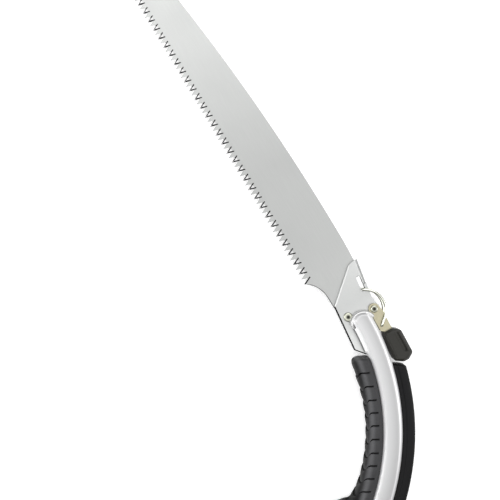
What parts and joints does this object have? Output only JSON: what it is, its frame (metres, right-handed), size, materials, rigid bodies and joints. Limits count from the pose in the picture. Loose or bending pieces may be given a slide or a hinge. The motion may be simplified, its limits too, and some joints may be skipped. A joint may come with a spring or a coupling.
{
  "type": "pruning saw",
  "caption": "Pull-stroke pruning saw with a hooked quick-change blade, an over-centre lever latch and a curved tubular handle with a ribbed grip.",
  "frame": {"origin": "centre of the lanyard hole near the butt, on the saw's mid-plane", "axes": "+X along the tooth line from the blade's tip to the butt, +Y towards the spine, +Z across the blade: the saw lies on its side"},
  "size_m": [0.52, 0.1322, 0.026],
  "materials": {
    "blade_steel": "satin ground steel",
    "bracket_steel": "satin plated sheet",
    "tube_aluminium": "satin anodised",
    "weld": "bright bead",
    "zinc_plate": "pale yellow zinc plate",
    "grip_rubber": "matte",
    "black_plastic": "fine texture",
    "nylon": "plain",
    "brass": "machined",
    "screw_steel": "zinc plated"
  },
  "bodies": {
    "frame": {"handle_tube": "tube_aluminium", "head_bracket": "bracket_steel", "spacer_plate": "bracket_steel", "weld_beads": "weld", "hook_pin": "zinc_plate", "lever_pivot_rivet": "zinc_plate", "lever_washers": "zinc_plate", "front_grip": "grip_rubber", "front_grip_core": "nylon", "grip_inserts": "brass", "grip_screws": "screw_steel", "tube_spacers": "screw_steel", "back_strip": "black_plastic", "butt_cap": "black_plastic", "butt_cap_pin": "screw_steel", "lanyard_sleeve": "nylon"},
    "blade": {"blade": "blade_steel"},
    "lever": {"lever_plate": "zinc_plate", "lever_grip": "black_plastic", "lever_grip_pin": "screw_steel"},
    "bail": {"bail": "zinc_plate"}
  },
  "joints": [
    {"name": "lever_open", "type": "hinge", "parent": "frame", "child": "lever", "pos_m": [-0.13586, 0.07462, 0], "axis": [0, 0, 1], "range_deg": [0, 60]},
    {"name": "bail_swing", "type": "hinge", "parent": "lever", "child": "bail", "pos_m": [-0.12146, 0.07292, 0], "axis": [0, 0, 1], "range_deg": [-37, 0]},
    {"name": "blade_swing", "type": "hinge", "parent": "frame", "child": "blade", "pos_m": [-0.14056, 0.05372, 0], "axis": [0, 0, 1], "range_deg": [0, 4.01]}
  ],
  "couplings": [
    {"joint": "bail_swing", "follows": "lever_open", "ratio": -0.615},
    {"joint": "blade_swing", "follows": "lever_open", "ratio": 0.06667}
  ]
}
